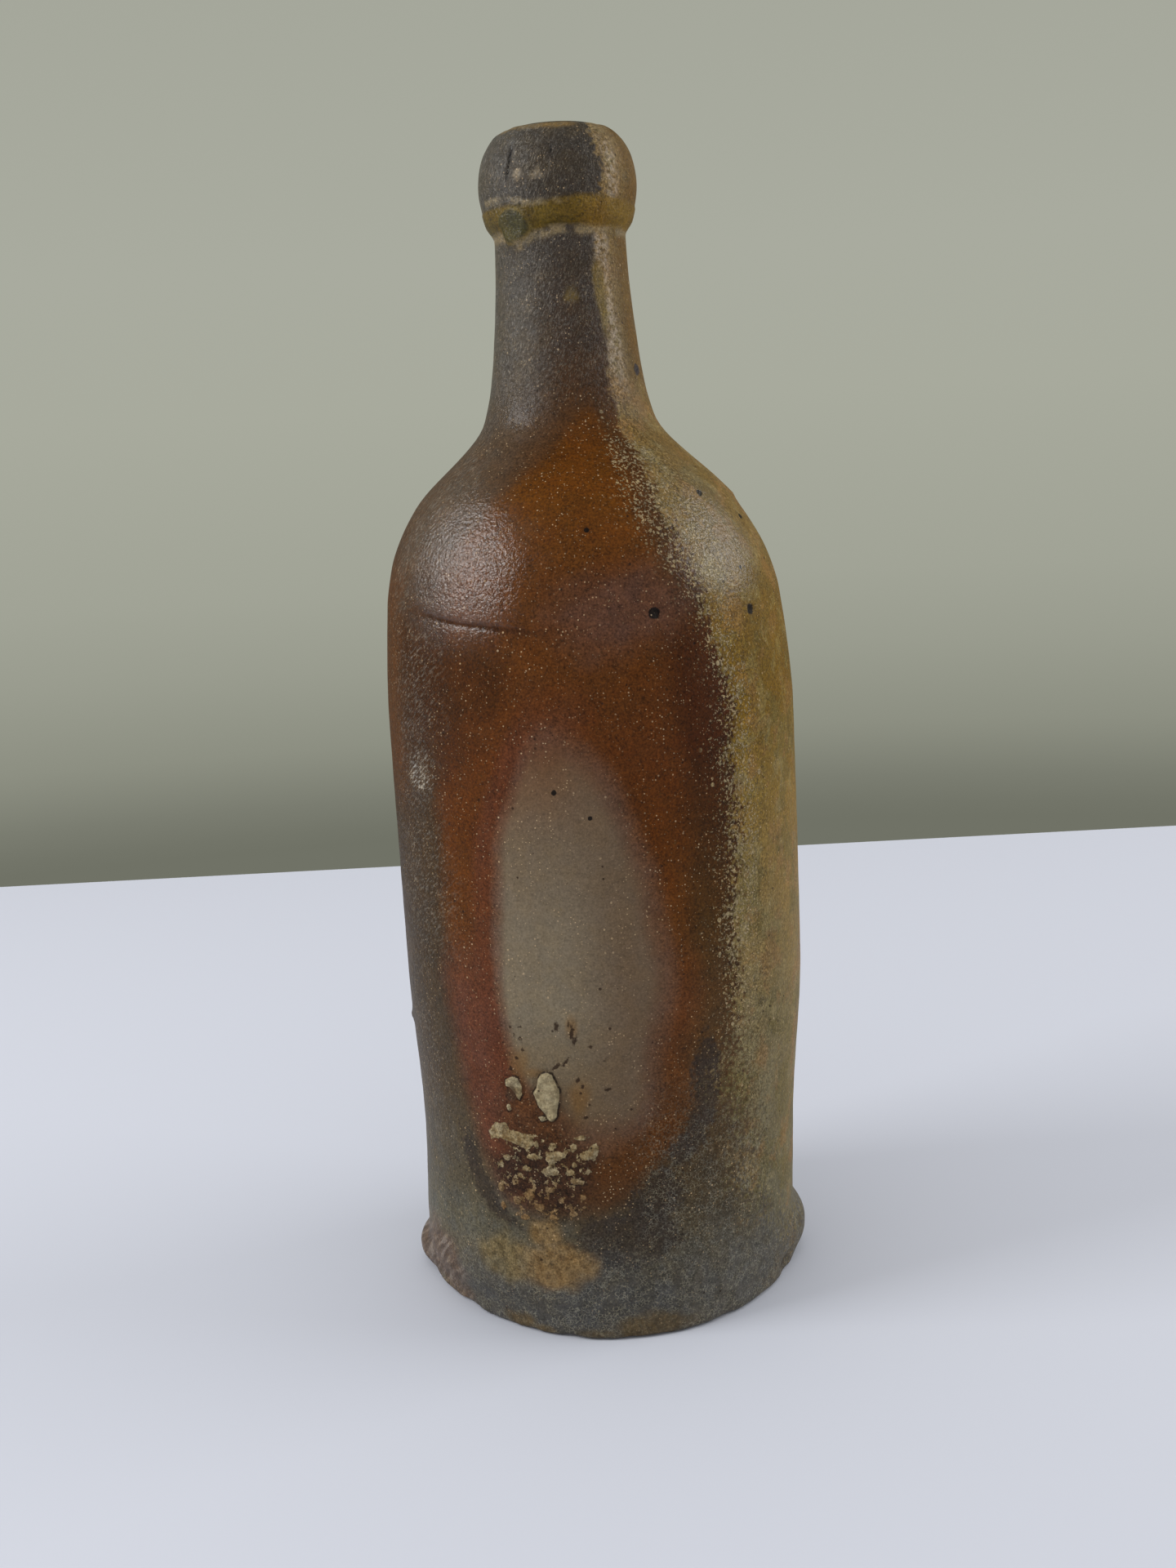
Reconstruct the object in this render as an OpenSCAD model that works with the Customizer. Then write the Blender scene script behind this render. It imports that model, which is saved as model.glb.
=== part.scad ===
// Wood-fired stoneware bottle, thrown as one piece of clay.
// It stands on the ground at z = 0, with +Z up along the axis of its mouth.
// The front is the -Y side. Angles are counted from the front towards the right, +X.

/* [Foot] */
// Mean radius of the foot at the ground
foot_r = 47.6; // [42:0.1:52]
// Rounding of the foot's lower edge
foot_edge = 1.2; // [0.4:0.1:2]
// Height of the uneven rim of clay round the foot
foot_h = 18; // [14:1:24]
// Radius of the wall just above that rim
foot_top_r = 47.2; // [42:0.1:52]

/* [Wall] */
// Rise from the rim to the narrowest place of the wall, the heel
heel_h = 19; // [12:1:28]
// Radius of the wall at the heel
heel_r = 47.2; // [42:0.1:52]
// Rise from the heel to the belly
belly_h = 45; // [35:1:60]
// Radius of the belly
belly_r = 49.5; // [44:0.1:56]
// Rise from the belly to the top of the straight wall
wall_h = 59; // [45:1:75]
// Radius at the top of the straight wall
wall_r = 49.7; // [44:0.1:56]
// How far the heel leans to the right of the axis
heel_lean = 0.75; // [-1:0.05:2]
// How far the belly leans to the right
belly_lean = 1.6; // [0:0.05:3]
// How far the top of the straight wall leans to the right
wall_lean = 1.5; // [0:0.05:3]

/* [Shoulder] */
// Rise from the straight wall to where the shoulder turns in
turn_h = 30; // [22:1:40]
// Radius where the shoulder turns in
turn_r = 47.6; // [44:0.1:50]
// How far the shoulder leans to the right where it turns in
turn_lean = 1; // [-1:0.05:2]
// How far the end of the upper slope leans to the right
slope_lean = -0.1; // [-1:0.05:1.5]
// Rise of the tight bend of the shoulder
bend_h = 9; // [6:0.5:13]
// Radius at the end of that bend
bend_r = 45.5; // [41:0.1:47]
// Rise of the upper slope of the shoulder
slope_h = 13.5; // [9:0.5:18]
// Radius at the end of the upper slope
slope_r = 38.4; // [32:0.1:41]

/* [Neck] */
// Rise of the hollow sweep from the shoulder into the neck
sweep_h = 20; // [14:0.5:28]
// Radius at the foot of the neck
neck_foot_r = 20.4; // [18.5:0.1:25]
// Rise of the neck's lower, tapered part
taper_h = 13.5; // [8:0.5:20]
// Radius at the end of that taper
neck_r = 17.6; // [16.5:0.1:18.4]
// Rise of the neck up to the groove below the collar
neck_h = 28; // [18:1:40]
// Radius in the groove below the collar
groove_r = 15.6; // [14.5:0.1:16.4]

/* [Collar] */
// Rise from the groove to the collar's lower shoulder
under_h = 3; // [2:0.25:5]
// Radius at the collar's lower shoulder
under_r = 17.2; // [16.5:0.1:18]
// Rise from there to the widest place of the collar
collar_h = 8; // [5:0.5:12]
// Radius of the collar at its widest
collar_r = 18.7; // [18.1:0.1:22]
// Rise of the rounded lip above the widest place
lip_h = 13; // [9:0.5:17]
// Radius of the lip's highest ring
lip_r = 10.8; // [10.6:0.1:13]

/* [Hollow] */
// Radius of the mouth's straight bore
mouth_r = 9; // [7:0.1:9.6]
// Depth of the mouth's straight bore, with its rounded edge
mouth_depth = 26; // [15:0.5:32]
// Rounding of the mouth's inner edge
mouth_edge = 0.9; // [0.3:0.1:0.9]
// Thickness of the wall, square to its face
wall_t = 6.5; // [4.5:0.1:7]
// Thickness of the floor
floor_t = 9; // [5:0.5:14]
// Rounding between the floor and the wall inside
floor_round = 12; // [4:0.5:16]

/* [Marks of the making] */
// Lump of clay squeezed out over the foot, at the right: how far it stands out
lump_out = 3; // [0:0.1:4]
// Angle of that lump
lump_angle = 94; // [80:1:110]
// Half of its spread around the foot, in degrees
lump_wide = 20; // [12:1:30]
// Height of its fullest place above the ground
lump_z = 7.5; // [4:0.5:9]
// Half of its height
lump_tall = 5.5; // [4:0.5:7]
// Smaller lump at the left of the foot: how far it stands out
nub_out = 3.2; // [0:0.1:4]
// Angle of that smaller lump
nub_angle = -96; // [-110:1:-80]
// Half of its spread around the foot, in degrees
nub_wide = 15; // [10:1:24]
// Height of its fullest place above the ground
nub_z = 5; // [3:0.5:8]
// Half of its height
nub_tall = 4; // [3:0.5:6]
// Hollow in the foot's edge at the front left: its depth
left_hollow = 3.1; // [0:0.1:4]
// Angle of that hollow
left_hollow_angle = -50; // [-70:1:-40]
// Half of its spread around the foot, in degrees
left_hollow_wide = 32; // [20:1:40]
// Hollow in the foot's edge at the front right: its depth
right_hollow = 1.2; // [0:0.1:3]
// Angle of that hollow
right_hollow_angle = 62; // [50:1:75]
// Half of its spread around the foot, in degrees
right_hollow_wide = 22; // [14:1:30]
// Height to which both hollows fade up the foot
hollow_tall = 8; // [4:0.5:12]
// Drop of glaze that hangs in the groove below the collar: how far it stands out
drop_out = 1.5; // [0:0.1:2.5]
// Angle of the drop
drop_angle = -38; // [-60:1:-20]
// Distance of the drop's middle below the groove
drop_below = 0.5; // [-3:0.5:4]
// Half width and half height of the drop
drop_size = 3.4; // [2:0.1:5]

/* [Resolution] */
// Number of facets around the bottle
around = 64; // [48:4:80]
// Largest step between rings on the straight wall
wall_step = 10; // [6:1:14]
// Largest step between rings on the curved parts
curve_step = 2.8; // [2:0.1:5]
// Number of facets across each rounded edge
edge_steps = 7; // [4:1:9]

/* [Hidden] */
$fn = 96;

// Height of each named ring above the ground
heel_z = foot_h + heel_h;
belly_z = heel_z + belly_h;
wall_z = belly_z + wall_h;
turn_z = wall_z + turn_h;
bend_z = turn_z + bend_h;
slope_z = bend_z + slope_h;
neck_foot_z = slope_z + sweep_h;
neck_z = neck_foot_z + taper_h;
groove_z = neck_z + neck_h;
under_z = groove_z + under_h;
collar_z = under_z + collar_h;
bottle_h = collar_z + lip_h;

// The outside as height, radius and step between rings, from the foot's edge to the collar's widest ring
OUTSIDE = [
    [foot_edge, foot_r, curve_step],
    [foot_h, foot_top_r, wall_step],
    [heel_z, heel_r, wall_step],
    [belly_z, belly_r, wall_step],
    [wall_z, wall_r, 2 * curve_step],
    [turn_z, turn_r, curve_step],
    [bend_z, bend_r, curve_step],
    [slope_z, slope_r, curve_step],
    [neck_foot_z, neck_foot_r, curve_step],
    [neck_z, neck_r, 2 * curve_step],
    [groove_z, groove_r, curve_step],
    [under_z, under_r, curve_step],
    [collar_z, collar_r, curve_step],
];

// The lean of the rings to the right, as height and distance
LEAN = [
    [foot_h, 0],
    [heel_z, heel_lean],
    [belly_z, belly_lean],
    [wall_z, wall_lean],
    [turn_z, turn_lean],
    [slope_z, slope_lean],
    [neck_foot_z, 0],
];

// Marks that swell or hollow the skin: angle, half spread, height, half height, depth
function arc_angle(length, radius) = length / radius * 180 / PI;
MARKS = [
    [lump_angle, lump_wide, lump_z, lump_tall, lump_out],
    [nub_angle, nub_wide, nub_z, nub_tall, nub_out],
    [left_hollow_angle, left_hollow_wide, 0, hollow_tall, -left_hollow],
    [right_hollow_angle, right_hollow_wide, 0, hollow_tall, -right_hollow],
    [drop_angle, arc_angle(drop_size, groove_r), groove_z - drop_below, drop_size, drop_out],
];

// A smooth curve through a list of heights and values, which never swings past them
function rise(s, i) = s[i + 1][0] - s[i][0];
function grade(s, i) = (s[i + 1][1] - s[i][1]) / rise(s, i);
function mean_grade(s, i) =
    let (a = grade(s, i - 1), b = grade(s, i))
    let (p = 2 * rise(s, i) + rise(s, i - 1), q = rise(s, i) + 2 * rise(s, i - 1))
    a * b <= 0 ? 0 : (p + q) / (p / a + q / b);
function tangent(s, i) = i == 0 ? grade(s, 0) : i == len(s) - 1 ? 0 : mean_grade(s, i);
function between(s, i, t) =
    let (t2 = t * t, t3 = t2 * t)
    (2 * t3 - 3 * t2 + 1) * s[i][1] + (3 * t2 - 2 * t3) * s[i + 1][1]
    + ((t3 - 2 * t2 + t) * tangent(s, i) + (t3 - t2) * tangent(s, i + 1)) * rise(s, i);
function band(s, z, i = 0) = i >= len(s) - 2 || z < s[i + 1][0] ? i : band(s, z, i + 1);
function along(s, z) = let (i = band(s, z)) between(s, i, (z - s[i][0]) / rise(s, i));
function outside_r(z) = along(OUTSIDE, z);
function outside_grade(z, d = 0.05) = (outside_r(z + d) - outside_r(z - d)) / (2 * d);

// Rings of the skin as height and mean radius, from the ground to the top of the lip
FOOT_RINGS = [
    for (a = [0 : 45 : 45]) [foot_edge * (1 - cos(a)), foot_r - foot_edge * (1 - sin(a))],
];
WALL_RINGS = [
    for (i = [0 : len(OUTSIDE) - 2]) let (n = ceil(rise(OUTSIDE, i) / OUTSIDE[i][2]))
        for (k = [0 : n - 1]) let (t = k / n)
            [OUTSIDE[i][0] + t * rise(OUTSIDE, i), between(OUTSIDE, i, t)],
];
LIP_RINGS = [
    for (k = [0 : edge_steps]) let (a = 90 * k / edge_steps)
        [collar_z + lip_h * sin(a), lip_r + (collar_r - lip_r) * cos(a)],
];
RINGS = concat(FOOT_RINGS, WALL_RINGS, LIP_RINGS);

// Sum of the marks at one place, and the sideways lean of the ring at height z
function turn_between(a, b) = abs((a - b + 540) % 360 - 180);
function fade(distance, half) = exp(-pow(abs(distance) / half, 3));
function swell(angle, z) = [
    for (m = MARKS) m[4] * fade(turn_between(angle, m[0]), m[1]) * fade(z - m[2], m[3]),
] * [for (m = MARKS) 1];
function lean(z) = z < foot_h || z > neck_foot_z ? 0 : along(LEAN, z);
function skin_point(ring, angle) =
    let (r = ring[1] + swell(angle, ring[0]))
    [lean(ring[0]) + r * sin(angle), -r * cos(angle), ring[0]];

// Outer form with no hollow: one ring of points above the other, joined by triangles
module skin() {
    top = len(RINGS) - 1;
    points = [for (ring = RINGS) for (j = [0 : around - 1]) skin_point(ring, 360 * j / around)];
    sides = [
        for (i = [0 : top - 1]) for (j = [0 : around - 1])
            let (k = (j + 1) % around, a = i * around + j, b = i * around + k)
            each [[a, a + around, b], [b, a + around, b + around]],
    ];
    ground = [for (j = [0 : around - 1]) j];
    crown = [for (j = [around - 1 : -1 : 0]) top * around + j];
    polyhedron(points, concat(sides, [ground, crown]), convexity = 6);
}

// Half section of the hollow: a floor with a rounded corner, a wall of even thickness, and the mouth
function inside_point(z) =
    let (m = outside_grade(z), n = sqrt(1 + m * m))
    [outside_r(z) - wall_t / n, z + wall_t * m / n];
mouth_z = bottle_h - mouth_depth;
corner_z = floor_t + floor_round;
corner_r = outside_r(corner_z) - wall_t;
CORNER = [
    for (k = [0 : edge_steps]) let (a = 90 * k / edge_steps)
        [corner_r - floor_round * (1 - sin(a)), corner_z - floor_round * cos(a)],
];
INSIDE = [
    for (ring = WALL_RINGS) let (p = inside_point(ring[0]))
        if (p[1] > corner_z + 1 && p[1] < mouth_z - 1 && ring[0] < groove_z) p,
];
MOUTH = [
    for (k = [0 : edge_steps]) let (a = 90 * k / edge_steps)
        [mouth_r + mouth_edge * (1 - cos(a)), bottle_h - mouth_edge * (1 - sin(a))],
];
above = 2;
HALF_SECTION = concat(
    [[0, floor_t]], CORNER, INSIDE, [[mouth_r, mouth_z]], MOUTH,
    [[mouth_r + mouth_edge, bottle_h + above], [0, bottle_h + above]]
);

module hollow() {
    rotate_extrude() polygon(HALF_SECTION);
}

module bottle() {
    color("#6e5c47") difference() {
        skin();
        hollow();
    }
}

bottle();
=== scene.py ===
# %% [markdown]
# # A wood-fired stoneware bottle
# The real bottle was thrown in one piece and fired with wood, so its skin is a map of the flame: ash melted
# onto one side, a bare oval where something stood close to it, and rust-red haloes between the two. The
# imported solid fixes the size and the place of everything. This lesson grows a finer skin over that solid
# and then finishes it.

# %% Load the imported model
import math
import bpy
import numpy as np
from mathutils import Matrix, Vector, noise


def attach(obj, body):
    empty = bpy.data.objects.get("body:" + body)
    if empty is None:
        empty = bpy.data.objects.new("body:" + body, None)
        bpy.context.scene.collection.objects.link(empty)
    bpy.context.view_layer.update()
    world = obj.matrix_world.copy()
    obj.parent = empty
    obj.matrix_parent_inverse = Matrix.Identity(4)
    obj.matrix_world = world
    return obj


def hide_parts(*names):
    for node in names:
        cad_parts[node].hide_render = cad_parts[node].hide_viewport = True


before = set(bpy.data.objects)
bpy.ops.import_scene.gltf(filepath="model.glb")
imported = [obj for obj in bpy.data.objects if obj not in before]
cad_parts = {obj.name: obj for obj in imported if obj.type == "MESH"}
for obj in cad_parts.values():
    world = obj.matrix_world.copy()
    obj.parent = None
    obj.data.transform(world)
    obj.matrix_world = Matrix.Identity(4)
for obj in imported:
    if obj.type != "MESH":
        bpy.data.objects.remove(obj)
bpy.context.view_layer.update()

# %% [markdown]
# ## The thrown outline
# A thrown pot is a curve turned about its axis, a little off true. It could be a lathe modifier on a drawn
# curve, but marks of the hand differ all the way round, so the outline is kept as a list of heights and
# radii here, and every point of the skin is worked out from it. The curve between the stations must never
# swing past them, or the shoulder would grow ripples that the wheel never made.

# %% The outline as a smooth curve
MM = 0.001

def smooth_curve(stations):
    """A curve through (height, value) pairs that never swings past them."""
    h, v = np.array(stations, float).T
    step, grade = np.diff(h), np.diff(v) / np.diff(h)
    slope = np.zeros(len(h))
    slope[0] = grade[0]
    a, b, p, q = grade[:-1], grade[1:], 2 * step[1:] + step[:-1], step[1:] + 2 * step[:-1]
    turns = a * b <= 0
    slope[1:-1] = np.where(turns, 0, (p + q) / (p / np.where(turns, 1, a) + q / np.where(turns, 1, b)))

    def at(z):
        z = np.clip(z, h[0], h[-1])
        i = np.clip(np.searchsorted(h, z, side="right") - 1, 0, len(h) - 2)
        t = (z - h[i]) / step[i]
        start, end = (2 * t**3 - 3 * t**2 + 1) * v[i], (3 * t**2 - 2 * t**3) * v[i + 1]
        return start + end + ((t**3 - 2 * t**2 + t) * slope[i] + (t**3 - t**2) * slope[i + 1]) * step[i]
    return at

FOOT_R, FOOT_EDGE = 47.6, 1.2
TOP, COLLAR_Z, COLLAR_R, LIP_R = 279.0, 266.0, 18.7, 10.8
MOUTH_R, MOUTH_Z, MOUTH_EASE = 9.0, 253.0, 0.9
WALL, FLOOR, CORNER = 6.5, 9.0, 12.0
outline = smooth_curve([(FOOT_EDGE, FOOT_R), (18, 47.2), (37, 47.2), (82, 49.5), (141, 49.7), (171, 47.6),
                        (180, 45.5), (193.5, 38.4), (213.5, 20.4), (227, 17.6), (255, 15.6), (258, 17.2),
                        (COLLAR_Z, COLLAR_R)])
leaning = smooth_curve([(18, 0), (37, 0.75), (82, 1.6), (141, 1.5), (171, 1), (193.5, -0.1), (213.5, 0)])
print("radius at the foot, belly, shoulder and neck:", outline(np.array([2, 82, 180, 240])).round(1))

# %% [markdown]
# ## Where the points go
# Places on the skin are given as two lengths in millimetres: how far around from the front, measured on the
# wall, and how far up. Points could be spread evenly, but the scabs near the foot need them three times
# closer than the plain back does. So each direction has its own list of spacings, and the points follow it.

# %% Close rows of points where the marks are small
WALL_R = 49.0
HALF_TURN = math.pi * WALL_R

def spread(start, end, spacing):
    """Places from start to end whose distances follow spacing, a list of (place, distance)."""
    fine = np.linspace(start, end, 4000)
    where, gap = np.array(spacing, float).T
    count = np.concatenate([[0], np.cumsum(np.diff(fine) / np.interp(fine[1:], where, gap))])
    return np.interp(np.linspace(0, count[-1], int(round(count[-1])) + 1), count, fine)

around = spread(-HALF_TURN, HALF_TURN, [(-90, 2.9), (-66, 1), (-36, 0.85), (-31, 0.44), (-3, 0.44), (2, 0.9),
                                        (66, 1), (90, 2.9)])[:-1]
wall_up = spread(FOOT_EDGE, COLLAR_Z, [(FOOT_EDGE, 0.8), (24, 0.9), (30, 0.45), (67, 0.45), (72, 1.4),
                                       (161, 1.45), (164, 0.6), (171, 0.6), (174, 1.5), (245, 1.55),
                                       (252, 0.7)])
print(len(around), "points around,", len(wall_up), "rows up the wall")

# %% The whole section as one line of rings: underside, wall, lip, mouth, inside
def arc(count):
    """Angles of a quarter turn."""
    return np.radians(np.linspace(0, 90, count))

def inside_of(z):
    """The inside of an even wall: the outline moved in, square to itself."""
    m = (outline(z + 0.05) - outline(z - 0.05)) / 0.1
    n = np.sqrt(1 + m * m)
    return np.stack([outline(z) - WALL / n, z + WALL * m / n], -1)

under = [(r, 0.0) for r in np.linspace(2, 44, 8)]
edge = [(FOOT_R - FOOT_EDGE * (1 - math.sin(a)), FOOT_EDGE * (1 - math.cos(a))) for a in arc(4)[:-1]]
wall = [(float(outline(z)), z) for z in wall_up]
lip_wide, lip_tall = COLLAR_R - LIP_R, TOP - COLLAR_Z
lip = [(LIP_R + lip_wide * math.cos(a), COLLAR_Z + lip_tall * math.sin(a)) for a in arc(26)[1:]]
mouth = [((LIP_R + MOUTH_R + MOUTH_EASE) / 2, TOP)]
mouth += [(MOUTH_R + MOUTH_EASE * (1 - math.cos(a)), TOP - MOUTH_EASE * (1 - math.sin(a)))
          for a in arc(5)[::-1]]
bore = [(MOUTH_R, z) for z in np.linspace(277, MOUTH_Z, 10)]
hollow = [tuple(p) for p in inside_of(np.linspace(254, 20, 34)) if FLOOR + CORNER + 1 < p[1] < MOUTH_Z - 1]
floor_r = float(outline(FLOOR + CORNER)) - WALL
corner = [(floor_r - CORNER * (1 - math.sin(a)), FLOOR + CORNER * (1 - math.cos(a))) for a in arc(6)[::-1]]
ground = [(r, FLOOR) for r in np.linspace(26, 2, 6)]
parts = [("under", under), ("skin", edge + wall + lip), ("mouth", mouth + bore),
         ("inside", hollow + corner + ground)]
kind = np.concatenate([[name] * len(rings) for name, rings in parts])
section = np.concatenate([np.array(rings, float) for name, rings in parts])
print(len(section), "rings:", {name: len(rings) for name, rings in parts})

# %% [markdown]
# ## Marks of the hand and the fire
# The foot bulges at the right and the left, hollows run under it at the front, and a drop of glaze hangs in
# the groove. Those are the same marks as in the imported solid. On top come small ones that only a fine skin
# can hold: flakes of kiln shelf that stuck to the wall, crusts below them, popped pits, a crease, and a
# ragged lip and foot. They could be bump alone, but a flake must catch light on its rim and show from the
# side, so it is real relief.

# %% Soft steps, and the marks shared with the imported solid
def soft_step(value, low, high):
    """0 up to low, 1 from high on, and smooth between."""
    t = np.clip((value - low) / (high - low), 0, 1)
    return t * t * (3 - 2 * t)

def below(value, full, gone):
    """1 up to full, 0 from gone on."""
    return 1 - soft_step(value, full, gone)

def between(value, low, rise, fall, high):
    """1 from rise to fall, and 0 outside low and high."""
    return soft_step(value, low, rise) * below(value, fall, high)

BULGES = [(94, 20, 7.5, 5.5, 3.0), (-96, 15, 5, 4, 3.2), (-50, 32, 0, 8, -3.1), (62, 22, 0, 8, -1.2),
          (-38, 3.4 / 15.6 * 180 / math.pi, 254.5, 3.4, 1.5)]
def bulge(degrees, z):
    """How far the form swells out, from (middle, width, height, tallness, out) of each bulge."""
    total = np.zeros(np.broadcast(degrees, z).shape)
    for middle, wide, height, tall, out in BULGES:
        from_middle = (degrees - middle + 540) % 360 - 180
        total += out * np.exp(-np.abs(from_middle / wide) ** 3 - np.abs((z - height) / tall) ** 3)
    return total

# %% Flakes and crusts, as outlines in millimetres around and up
FLAKES = [[(-16.3, 65.8), (-14.8, 66.4), (-13.6, 66), (-12.6, 63.6), (-11.9, 62), (-12.1, 59.9),
           (-12.7, 57.4), (-12.9, 55.5), (-14, 54.2), (-15, 54.5), (-15.7, 56), (-17.4, 57.9), (-18.5, 61.2),
           (-17.5, 62.4), (-17.1, 64.6)],
          [(-25.7, 63.6), (-23.8, 64.6), (-22.3, 64.4), (-21.3, 62.6), (-21.4, 60.4), (-22.3, 58.8),
           (-23.4, 60.8), (-24.5, 61.8), (-25.6, 62.1)],
          [(-26, 57.3), (-25, 57.6), (-24.4, 56.3), (-25.6, 55.7)],
          [(-17.7, 55.3), (-16.1, 55.5), (-15.4, 54.7), (-16.8, 54)]]
CRUSTS = [[(-31.8, 49.8), (-29.6, 52.3), (-26.3, 52.8), (-25.5, 51.2), (-22.9, 51), (-19.7, 50.2),
           (-18.8, 48.3), (-20.6, 46.6), (-23.2, 47.3), (-26.3, 48.2), (-28.4, 48.6), (-31.2, 47.9)],
          [(-16, 46.3), (-13.5, 46.8), (-11.4, 46.6), (-11, 45.4), (-13.6, 44.3), (-14.6, 43), (-13.1, 41.2),
           (-16.9, 40.3), (-17.2, 41.8), (-15.5, 43.5), (-16.2, 45)],
          [(-7.7, 46.7), (-5.6, 47.6), (-5, 49.2), (-3.4, 49.2), (-3.1, 47.6), (-3.8, 45.4), (-4.2, 44.2),
           (-5.3, 45.2), (-6.6, 44.4), (-7.6, 45.5)]]
CRUST_SPOTS = [(-18.6, 48.2, 0.6, 1.1), (-14.2, 48.3, 0.8, 0.9), (-26.9, 44, 1.1, 0.8),
               (-19.3, 45.2, 1.8, 0.8), (-7.3, 50.4, 1.7, 0.6), (-9.2, 48.1, 1, 0.8),
               (-10.2, 41.8, 1.1, 0.8), (-8.8, 39.6, 1.5, 0.8), (-28.9, 36.3, 1, 1.3),
               (-20.9, 35.2, 1.2, 1.2), (-9.3, 43.7, 0.7, 0.7), (-7.1, 35.7, 0.8, 0.7),
               (-28.6, 42.3, 0.6, 1), (-21.5, 41.9, 1.4, 0.7), (-25.2, 38.4, 0.6, 1.2),
               (-15.6, 37.2, 1.3, 0.8), (-12.6, 34.6, 0.9, 0.8), (-18.2, 32.6, 1.3, 0.9),
               (-24.3, 33.4, 1, 0.8), (-9.6, 31.6, 0.9, 0.8), (-28.2, 31.8, 0.8, 1), (-14.6, 30.4, 1.2, 0.8),
               (-22.4, 29.8, 1.2, 0.8), (-12.2, 50.9, 0.5, 0.4)]

def depth_in(shape, s, z):
    """Distance from the outline of a shape, in millimetres: more than nothing inside it."""
    best, inside = np.full(s.shape, 1e9), np.zeros(s.shape, bool)
    for (x0, y0), (x1, y1) in zip(shape, shape[1:] + shape[:1]):
        t = np.clip(((s - x0) * (x1 - x0) + (z - y0) * (y1 - y0)) / ((x1 - x0) ** 2 + (y1 - y0) ** 2), 0, 1)
        best = np.minimum(best, np.hypot(s - x0 - t * (x1 - x0), z - y0 - t * (y1 - y0)))
        inside ^= ((y0 > z) != (y1 > z)) & (s < (x1 - x0) * (z - y0) / ((y1 - y0) or 1e-9) + x0)
    return np.where(inside, best, -best)

def depth_in_spot(middle_s, middle_z, half_s, half_z, s, z):
    """The same for a small oval."""
    return (1 - np.hypot((s - middle_s) / half_s, (z - middle_z) / half_z)) * min(half_s, half_z)

def lumps(place, size, seed):
    """Smooth noise between -1 and 1, with lumps of that size in millimetres."""
    spots = (place / size).reshape(-1, 3).tolist()
    flat = [noise.noise((x + seed, y - seed, z + 2 * seed)) for x, y, z in spots]
    return np.array(flat).reshape(place.shape[:-1])

# %% The relief of the skin
PITS = [(17.1, 169.5, 1.2, 0.7), (45.3, 168, 1, 0.6), (42.8, 194.5, 0.9, 0.5), (59, 188.5, 0.8, 0.5),
        (3, 188, 0.6, 0.3), (-7.7, 131.5, 0.6, 0.3), (21, 110, 0.5, 0.2), (-26, 118, 0.5, 0.2),
        (56, 223.5, 1, 0.4), (-71, 69, 1.1, -0.45), (72.5, 194, 1.1, -0.4)]
RING_STEP = 8.5

def relief(s, z, place):
    """How far the fine marks stand out, in millimetres, and the depths of the flakes, crusts and crease."""
    broad, mid, small = lumps(place, 60, 3.1), lumps(place, 16, 7.7), lumps(place, 3.2, 1.9)
    rings = np.sin(z / RING_STEP * 2 * math.pi + 1.2 * broad) * (0.5 + 0.5 * mid)
    out = -0.16 + 0.07 * broad + 0.05 * mid + 0.03 * rings
    wall_scale = WALL_R / np.clip(outline(z), 12, 60)
    for at_s, at_z, half, depth in PITS:
        far = np.hypot((s - at_s) / wall_scale, z - at_z) / half
        out += -depth * np.exp(-far ** 4) + 0.12 * np.exp(-((far - 1.35) / 0.3) ** 2)
    crease = z - (167.6 - 0.1 * (s + 20) + 0.003 * np.clip(-s - 25, 0, 40) ** 2 + 0.5 * mid)
    fold = np.exp(-(crease / 0.7) ** 2) * between(s, -52, -36, -16, -4)
    ridge = np.exp(-((z - 178.5 + 0.03 * s) / 1.6) ** 2) * between(s, -4, 4, 26, 34)
    out += 0.12 * ridge - 0.13 * fold
    flake = np.max([depth_in(shape, s, z) for shape in FLAKES], axis=0)
    out += 0.6 * soft_step(flake + 0.1 * small, -0.1, 0.4) - 0.35 * np.exp(-((flake + 0.35) / 0.35) ** 2)
    crust = np.max([depth_in(shape, s, z) for shape in CRUSTS]
                   + [depth_in_spot(*spot, s, z) for spot in CRUST_SPOTS], axis=0)
    crust = crust + 0.35 * small + 0.15 * lumps(place, 1.3, 4.4)
    out += 0.28 * soft_step(crust, -0.1, 0.5)
    return out, flake, crust, fold

def collar_relief(s, z):
    """Glaze pooled in the groove, the dish in the hanging drop, and splits in the collar."""
    low = np.interp(s, [-150, -50, -34, -20, 0, 25, 50, 150],
                    [255.5, 255, 252.7, 254.2, 255.8, 255.2, 255.3, 255.5])
    out = 0.28 * between(z, low - 0.8, low + 0.8, 260.2, 261.2)
    drop = np.hypot((s + 33) / 14, (z - 256.3) / 4)
    out += 0.55 * np.exp(-((drop - 0.72) / 0.26) ** 2) - 0.3 * np.exp(-(drop / 0.42) ** 2)
    path = s - np.interp(z, [265.5, 270.8, 274.5], [-32.4, -30.4, -29.4])
    split = np.exp(-(path / 1.1) ** 2) * between(z, 265, 267.5, 272.6, 274.6)
    split = np.maximum(split, 0.8 * np.exp(-((s + 2.8) / 0.9) ** 2 - ((z - 272) / 1.1) ** 2))
    return out - 0.5 * split, split

# %% [markdown]
# ## The skin
# Rings joined by quads make one closed body, from the middle of the underside, up the wall, over the lip,
# and down inside to the floor. The foot's ragged edge and the lip's wear are moved last. The mesh replaces
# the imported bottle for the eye, and has its own map for textures, laid out as the wall unrolled beside the
# inside and the foot.

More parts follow.
